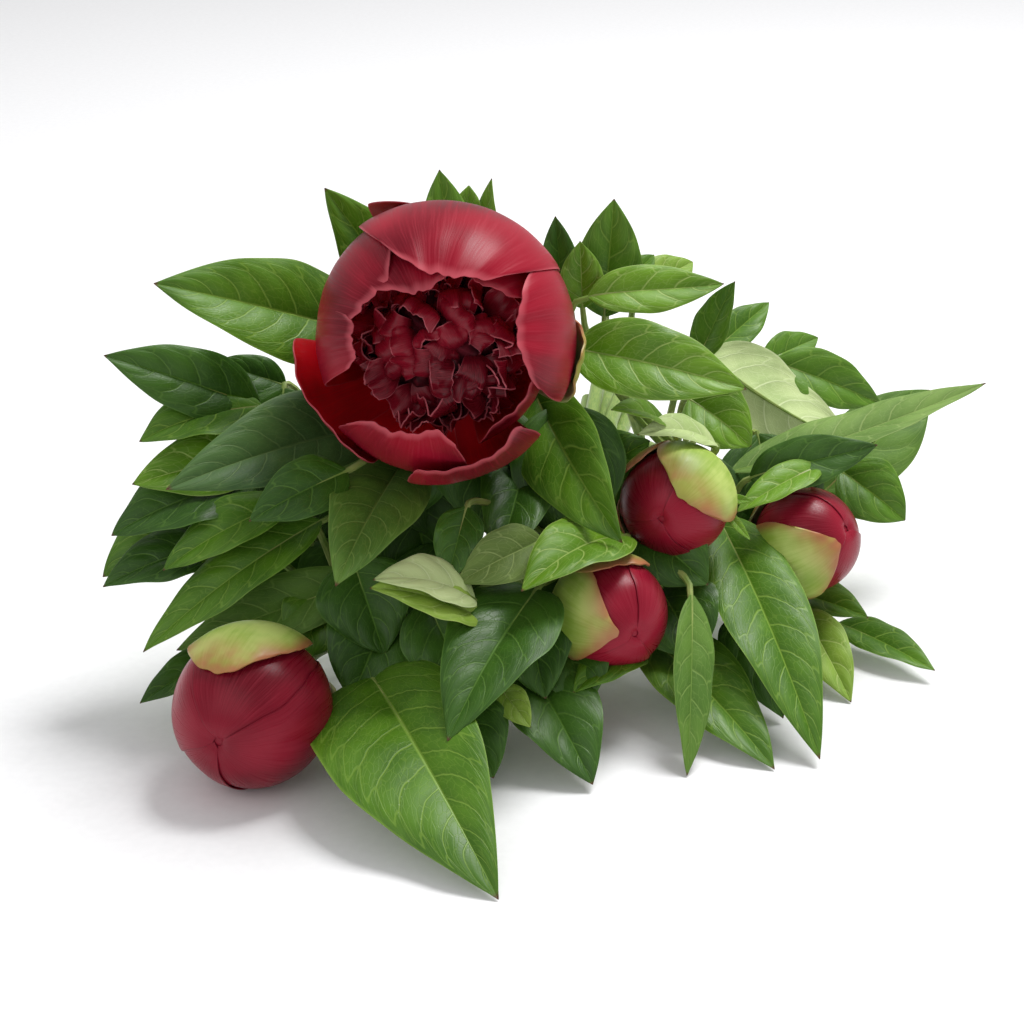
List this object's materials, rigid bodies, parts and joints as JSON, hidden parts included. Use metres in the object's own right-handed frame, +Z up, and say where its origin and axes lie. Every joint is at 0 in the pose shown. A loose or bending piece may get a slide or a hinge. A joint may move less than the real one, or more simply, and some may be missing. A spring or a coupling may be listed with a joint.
{
  "type": "bunch of cut peonies",
  "caption": "Bunch of cut peonies lying on its side: an open double bloom, round buds with green sepals and dense leaves on tied stems.",
  "frame": {"origin": "middle of the bunch's footprint, on the surface that it lies on", "axes": "+Z up from the surface; the flower heads point towards -Y and the cut stem ends towards +Y, along the bunch's length"},
  "size_m": [0.3054, 0.4146, 0.1788],
  "materials": {
    "leaf": "satin, veined",
    "petal": "silky",
    "heart": "silky, ruffled",
    "bud": "silky",
    "sepal": "satin",
    "stem": "smooth, green",
    "twine": "fibrous"
  },
  "bodies": {
    "root": {"bloom_calyx": "sepal", "bloom_heart": "heart", "bloom_stem": "stem", "bud_front": "bud", "bud_front_calyx": "sepal", "bud_front_stem": "stem", "bud_high": "bud", "bud_high_calyx": "sepal", "bud_high_stem": "stem", "bud_low": "bud", "bud_low_calyx": "sepal", "bud_low_stem": "stem", "bud_right": "bud", "bud_right_calyx": "sepal", "bud_right_stem": "stem", "leaf_back_left": "leaf", "leaf_back_right": "leaf", "leaf_bloom_crown": "leaf", "leaf_bloom_crown_left": "leaf", "leaf_bloom_crown_right": "leaf", "leaf_bloom_drop": "leaf", "leaf_bloom_drop_left": "leaf", "leaf_bloom_front": "leaf", "leaf_bloom_left": "leaf", "leaf_bloom_low_left": "leaf", "leaf_bloom_right": "leaf", "leaf_bloom_shoulder": "leaf", "leaf_front_big": "leaf", "leaf_front_left": "leaf", "leaf_front_pale": "leaf", "leaf_high_crown": "leaf", "leaf_high_level": "leaf", "leaf_high_narrow": "leaf", "leaf_high_over": "leaf", "leaf_high_pale": "leaf", "leaf_high_small": "leaf", "leaf_left_high": "leaf", "leaf_left_wide": "leaf", "leaf_low_bright": "leaf", "leaf_low_folded": "leaf", "leaf_low_middle": "leaf", "leaf_low_right": "leaf", "leaf_low_wide": "leaf", "leaf_right_back": "leaf", "leaf_right_dark": "leaf", "leaf_right_light": "leaf", "leaf_right_long": "leaf", "leaf_right_low": "leaf", "leaf_right_under": "leaf", "leaf_right_upper": "leaf", "petal_back": "petal", "petal_bottom": "petal", "petal_inner_right": "petal", "petal_inner_top": "petal", "petal_left": "petal", "petal_lower_left": "petal", "petal_lower_right": "petal", "petal_right": "petal", "petal_top": "petal", "tie": "twine"}
  },
  "joints": []
}
